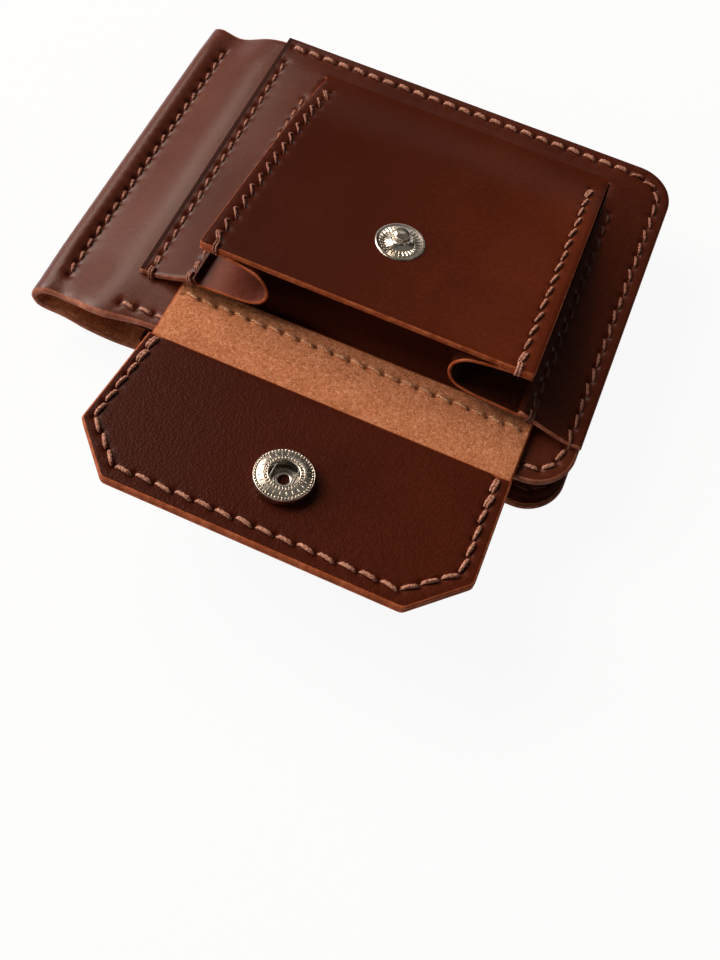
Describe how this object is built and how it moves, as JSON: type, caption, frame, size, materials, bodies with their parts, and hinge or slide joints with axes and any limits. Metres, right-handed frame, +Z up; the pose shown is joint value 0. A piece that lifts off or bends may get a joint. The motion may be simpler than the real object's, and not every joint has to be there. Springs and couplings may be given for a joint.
{
  "type": "coin purse wallet",
  "caption": "Folding leather wallet with a spring money clip inside, card slots, and a gusseted coin pocket on the outside closed by a snap flap.",
  "frame": {"origin": "bottom centre of the closed wallet lying on its back half with the coin pocket's flap open", "axes": "+X from the spine fold to the free edges, +Y from the edge where the flap hangs to the far edge, +Z up through the thickness"},
  "size_m": [0.1208, 0.1216, 0.0284],
  "materials": {
    "cover_leather": "smooth vegetable-tanned hide, waxed, dark oxblood brown",
    "pocket_leather": "smooth vegetable-tanned hide, waxed, dark red brown",
    "flap_leather": "smooth vegetable-tanned hide, waxed",
    "lining_leather": "smooth lining hide with light specks",
    "gusset_leather": "thin smooth hide",
    "card_leather": "smooth hide, natural edges",
    "loop_leather": "thin smooth hide",
    "suede": "flesh side up, short nap, tan",
    "snap_metal": "nickel plated brass",
    "spring_steel": "bright spring wire",
    "clip_steel": "nickel plated steel wire"
  },
  "bodies": {
    "back": {"cover_back": "cover_leather", "card_base_back": "card_leather", "card_slot_upper_back": "card_leather", "card_slot_lower_back": "card_leather"},
    "spine": {"cover_spine": "cover_leather"},
    "front": {"cover_front": "cover_leather", "card_base_front": "card_leather", "card_slot_upper_front": "card_leather", "card_slot_lower_front": "card_leather", "pocket_panel": "pocket_leather", "flap_root": "suede", "gusset_left": "gusset_leather", "gusset_right": "gusset_leather", "clip_loop": "loop_leather", "clip_rod": "clip_steel", "clip_spring_near": "spring_steel", "clip_spring_far": "spring_steel"},
    "flap_fold": {"flap_strip": "flap_leather"},
    "flap": {"flap_outer": "flap_leather", "flap_lining": "lining_leather", "snap_cap": "snap_metal", "snap_socket": "snap_metal", "socket_spring": "spring_steel"},
    "coin_front": {"coin_front_panel": "pocket_leather", "snap_stud": "snap_metal", "stud_rivet": "snap_metal"},
    "clip": {"clip_bail": "clip_steel"}
  },
  "joints": [
    {"name": "spine_lower", "type": "hinge", "parent": "back", "child": "spine", "pos_m": [-0.05715, 0.0183, 0.00635], "axis": [0, -1, 0], "range_deg": [0, 90], "deforming": ["cover_spine"]},
    {"name": "spine_upper", "type": "hinge", "parent": "spine", "child": "front", "pos_m": [-0.05715, 0.0183, 0.01125], "axis": [0, -1, 0], "range_deg": [0, 90]},
    {"name": "flap_fold", "type": "hinge", "parent": "front", "child": "flap_fold", "pos_m": [0.00945, -0.0147, 0.0149], "axis": [-1, 0, 0], "range_deg": [0, 90], "deforming": ["flap_strip"]},
    {"name": "flap_turn", "type": "hinge", "parent": "flap_fold", "child": "flap", "pos_m": [0.00945, -0.0236, 0.0149], "axis": [-1, 0, 0], "range_deg": [0, 77.9]},
    {"name": "coin_front_tilt", "type": "hinge", "parent": "front", "child": "coin_front", "pos_m": [0.00945, 0.0518, 0.01722], "axis": [1, 0, 0], "range_deg": [0, 9.14], "deforming": ["gusset_left", "gusset_right"]},
    {"name": "clip_lift", "type": "hinge", "parent": "front", "child": "clip", "pos_m": [-0.04835, 0.0183, 0.0076], "axis": [0, 1, 0], "range_deg": [0, 3], "stiffness_Nm_per_rad": 0.3, "springref_deg": -17.19}
  ],
  "couplings": [
    {"joint": "spine_upper", "follows": "spine_lower", "ratio": 1},
    {"joint": "flap_turn", "follows": "flap_fold", "ratio": 0.86555},
    {"joint": "coin_front_tilt", "follows": "flap_fold", "ratio": 0.10154}
  ]
}
